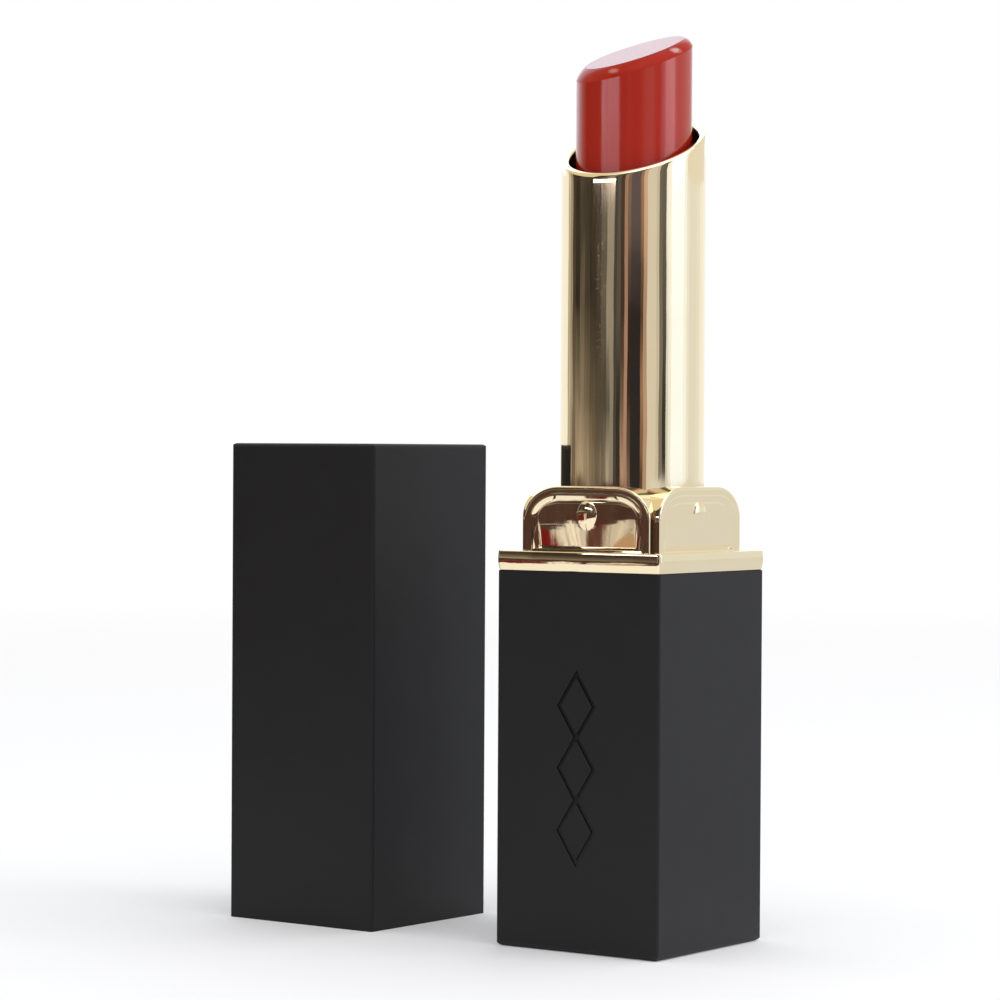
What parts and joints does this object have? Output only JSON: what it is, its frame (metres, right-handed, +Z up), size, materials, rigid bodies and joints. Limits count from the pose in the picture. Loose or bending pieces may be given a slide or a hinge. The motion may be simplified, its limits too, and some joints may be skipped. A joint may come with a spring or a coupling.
{
  "type": "lipstick case",
  "caption": "Square twist-up lipstick case with a slanted round tube, a four-sided snap collar, an extended bullet and its pull-off square cap standing beside it.",
  "frame": {"origin": "middle of the base's underside, which stands on the table", "axes": "+Z up along the tube, -Y out of the marked face of the base, the parked cap towards -X"},
  "size_m": [0.0562, 0.0204, 0.0949],
  "materials": {
    "soft_black": "matte soft-touch",
    "gold_plate": "mirror",
    "natural_plastic": "satin",
    "black_plastic": "satin",
    "steel": "satin",
    "ring_rubber": "matte",
    "wax": "satin",
    "label": "matte"
  },
  "bodies": {
    "base": {"base_shell": "soft_black", "base_core": "natural_plastic", "base_weight": "steel", "shade_label": "label", "collar": "gold_plate", "spiral_sleeve": "natural_plastic"},
    "tube": {"tube_shell": "gold_plate", "slotted_sleeve": "natural_plastic", "friction_ring": "ring_rubber", "retaining_ring": "steel"},
    "lipstick": {"cup": "natural_plastic", "bullet": "wax"},
    "cap": {"cap_shell": "soft_black", "cap_liner": "black_plastic", "cap_weight": "steel"}
  },
  "joints": [
    {"name": "tube_turn", "type": "hinge", "parent": "base", "child": "tube", "pos_m": [0, 0, 0.045], "axis": [0, 0, -1], "range_deg": [-270, 270]},
    {"name": "bullet_rise", "type": "slide", "parent": "tube", "child": "lipstick", "axis": [0, 0, 1], "range_m": [-0.012, 0.012]},
    {"name": "cap_lift", "type": "slide", "parent": "base", "child": "cap", "axis": [0, 0, 1], "range_m": [0, 0.09]}
  ],
  "couplings": [
    {"joint": "bullet_rise", "follows": "tube_turn", "m_per_rad": 0.0025465}
  ]
}
